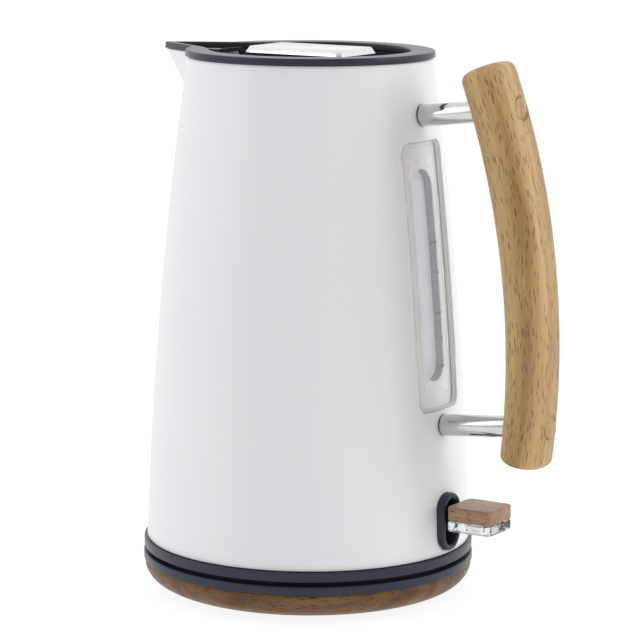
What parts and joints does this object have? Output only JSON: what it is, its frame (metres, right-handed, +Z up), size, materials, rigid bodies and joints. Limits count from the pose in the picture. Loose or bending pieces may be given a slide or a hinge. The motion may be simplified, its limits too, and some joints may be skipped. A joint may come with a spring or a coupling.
{
  "type": "electric jug kettle",
  "caption": "Cordless electric jug kettle with a tapering painted body, a pressed spout, a lift-out lid, a curved wooden handle on metal posts, a water window, a rocker and a round power base.",
  "frame": {"origin": "middle of the whole kettle footprint, on the surface that it stands on", "axes": "+Z up, +X towards the handle, -X towards the spout"},
  "size_m": [0.2118, 0.1554, 0.2544],
  "materials": {
    "white_paint": "satin white paint on pressed steel",
    "slate_plastic": "fine matt moulded slate blue-grey",
    "black_plastic": "matt black moulding",
    "beech": "oiled beech with short dark flecks",
    "dark_wood": "brown stained beech, satin",
    "chrome": "polished",
    "steel": "plain stainless",
    "aluminium": "cast",
    "brass": "bright",
    "clear_plastic": "clear moulded plastic",
    "silicone": "soft grey silicone",
    "rubber": "matt"
  },
  "bodies": {
    "power_base": {"base_wood_ring": "dark_wood", "base_top_cover": "slate_plastic", "base_bottom_cover": "black_plastic", "connector_housing": "black_plastic", "cord_gland": "black_plastic", "base_screw_1": "steel", "base_screw_2": "steel", "base_screw_3": "steel", "rubber_foot_1": "rubber", "rubber_foot_2": "rubber", "rubber_foot_3": "rubber"},
    "connector": {"connector_post": "black_plastic", "earth_pin": "brass", "live_contact_ring": "brass", "neutral_contact_ring": "brass"},
    "jug": {"jug_bottom_ring": "slate_plastic", "jug_base_cover": "black_plastic", "control_unit": "black_plastic", "element_ring": "aluminium", "diffuser_plate": "aluminium", "heating_plate": "steel", "steam_tube": "black_plastic", "switch_bezel": "slate_plastic", "switch_bracket": "black_plastic", "switch_pivot_pin": "steel", "indicator_lamp": "clear_plastic", "handle_grip": "beech", "handle_post_upper": "chrome", "handle_post_lower": "chrome", "post_gasket_upper": "rubber", "post_gasket_lower": "rubber", "handle_bolt_upper": "steel", "handle_bolt_lower": "steel", "handle_nut_upper": "steel", "handle_nut_lower": "steel", "handle_plug_upper": "beech", "handle_plug_lower": "beech", "window_lens": "clear_plastic", "window_liner": "clear_plastic", "window_gasket": "silicone", "window_clamp": "steel", "body_shell": "white_paint", "top_collar": "slate_plastic", "neck_ring": "black_plastic", "cover_screw_1": "steel", "cover_screw_2": "steel", "cover_screw_3": "steel"},
    "lid": {"lid_cover": "slate_plastic", "lid_grip_stem": "slate_plastic", "lid_grip_plate": "chrome", "lid_steel_disc": "steel", "lid_seal": "silicone", "lid_screw_1": "steel", "lid_screw_2": "steel"},
    "filter": {"filter_frame": "black_plastic", "filter_mesh": "steel"},
    "switch": {"lever_arm": "black_plastic", "switch_wood_cap": "beech", "switch_clear_tab": "clear_plastic"}
  },
  "joints": [
    {"name": "jug_turn", "type": "hinge", "parent": "power_base", "child": "connector", "pos_m": [-0.02395, 0, 0.0198], "axis": [0, 0, 1], "continuous": true},
    {"name": "jug_lift", "type": "slide", "parent": "connector", "child": "jug", "axis": [0, 0, 1], "range_m": [0, 0.06]},
    {"name": "lid_lift", "type": "slide", "parent": "jug", "child": "lid", "axis": [0, 0, 1], "range_m": [0, 0.05]},
    {"name": "filter_lift", "type": "slide", "parent": "jug", "child": "filter", "axis": [0, 0, 1], "range_m": [0, 0.03]},
    {"name": "switch_rock", "type": "hinge", "parent": "jug", "child": "switch", "pos_m": [0.035, 0, 0.0401], "axis": [0, 1, 0], "range_deg": [0, 12]}
  ]
}
